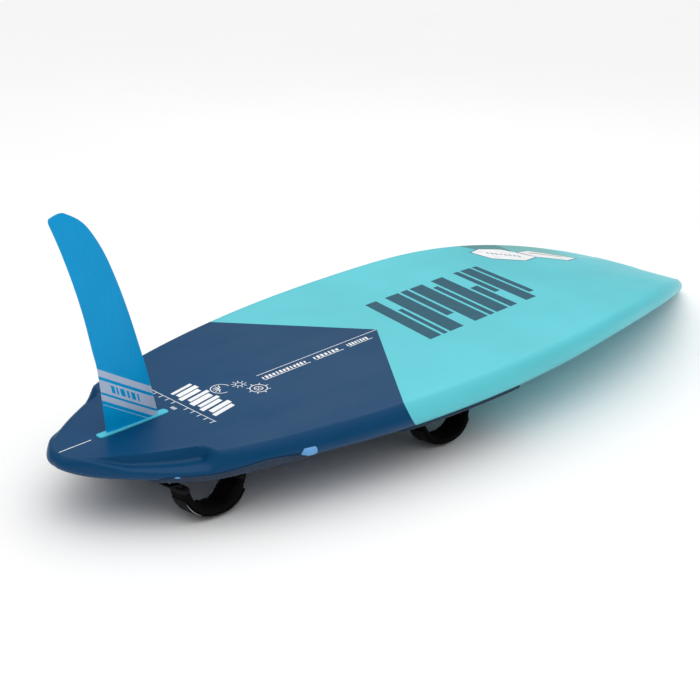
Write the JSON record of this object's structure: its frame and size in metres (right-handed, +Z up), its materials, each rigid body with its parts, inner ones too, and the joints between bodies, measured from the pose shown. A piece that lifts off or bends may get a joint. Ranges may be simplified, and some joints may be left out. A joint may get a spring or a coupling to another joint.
{
  "type": "windsurf board",
  "caption": "Windsurf board lying deck down, with a tall raked fin, tail cutaways, deck pads, padded foot straps, mast track and vent screw.",
  "frame": {"origin": "centre of the board's box, on the surface that it lies on", "axes": "+X towards the nose, +Y across the board, +Z up; the board lies deck down on its nose and straps, its bottom 2.8 degrees off level"},
  "size_m": [2.3524, 0.7512, 0.6325],
  "materials": {
    "bottom_navy": "painted laminate, satin",
    "deck_turquoise": "painted laminate, satin",
    "core_foam": "closed-cell foam",
    "box_plastic": "moulded, fine grain",
    "fin_blue": "moulded laminate, satin",
    "head_blue": "moulded, satin",
    "steel": "turned",
    "brass": "turned",
    "ring_rubber": "smooth",
    "pad_foam": "matt foam sheet",
    "strap_neoprene": "brushed jersey over foam",
    "webbing": "woven"
  },
  "bodies": {
    "board": {"bottom_shell": "bottom_navy", "deck_pad_front_left": "pad_foam", "deck_pad_front_right": "pad_foam", "deck_pad_rear_left": "pad_foam", "deck_pad_rear_right": "pad_foam", "deck_shell": "deck_turquoise", "fin_box": "box_plastic", "foam_core": "core_foam", "mast_track_box": "box_plastic", "strap_cover_front_left": "strap_neoprene", "strap_cover_front_right": "strap_neoprene", "strap_cover_rear_left": "strap_neoprene", "strap_cover_rear_right": "strap_neoprene", "strap_insert_front_left_aft": "box_plastic", "strap_insert_front_left_fore": "box_plastic", "strap_insert_front_right_aft": "box_plastic", "strap_insert_front_right_fore": "box_plastic", "strap_insert_rear_left_aft": "box_plastic", "strap_insert_rear_left_fore": "box_plastic", "strap_insert_rear_right_aft": "box_plastic", "strap_insert_rear_right_fore": "box_plastic", "strap_screw_front_left_aft": "steel", "strap_screw_front_left_fore": "steel", "strap_screw_front_right_aft": "steel", "strap_screw_front_right_fore": "steel", "strap_screw_rear_left_aft": "steel", "strap_screw_rear_left_fore": "steel", "strap_screw_rear_right_aft": "steel", "strap_screw_rear_right_fore": "steel", "strap_washer_front_left_aft": "box_plastic", "strap_washer_front_left_fore": "box_plastic", "strap_washer_front_right_aft": "box_plastic", "strap_washer_front_right_fore": "box_plastic", "strap_washer_rear_left_aft": "box_plastic", "strap_washer_rear_left_fore": "box_plastic", "strap_washer_rear_right_aft": "box_plastic", "strap_washer_rear_right_fore": "box_plastic", "strap_webbing_front_left": "webbing", "strap_webbing_front_right": "webbing", "strap_webbing_rear_left": "webbing", "strap_webbing_rear_right": "webbing", "vent_insert": "box_plastic"},
    "fin": {"fin_blade": "fin_blue", "fin_head": "head_blue", "fin_barrel_nut": "brass"},
    "fin_bolt_lift": {"fin_washer": "steel"},
    "fin_bolt": {"fin_bolt": "steel"},
    "vent_lift": {"vent_o_ring": "ring_rubber"},
    "vent_screw": {"vent_screw": "box_plastic"}
  },
  "joints": [
    {"name": "fin_slide", "type": "slide", "parent": "board", "child": "fin", "axis": [-0.0484, 0, 0.9988], "range_m": [0, 0.06]},
    {"name": "fin_bolt_lift", "type": "slide", "parent": "board", "child": "fin_bolt_lift", "axis": [0.0484, 0, -0.9988], "range_m": [0, 0.016]},
    {"name": "fin_bolt_turn", "type": "hinge", "parent": "fin_bolt_lift", "child": "fin_bolt", "pos_m": [-0.98111, 0, 0.09561], "axis": [0.0484, 0, -0.9988], "range_deg": [0, 5760]},
    {"name": "vent_lift", "type": "slide", "parent": "board", "child": "vent_lift", "axis": [0.0484, 0, -0.9988], "range_m": [0, 0.009]},
    {"name": "vent_turn", "type": "hinge", "parent": "vent_lift", "child": "vent_screw", "pos_m": [-0.15195, 0, 0.09178], "axis": [0.0484, 0, -0.9988], "range_deg": [0, 2160]}
  ],
  "couplings": [
    {"joint": "fin_bolt_lift", "follows": "fin_bolt_turn", "m_per_rad": 0.00015915},
    {"joint": "vent_lift", "follows": "vent_turn", "m_per_rad": 0.00023873}
  ]
}
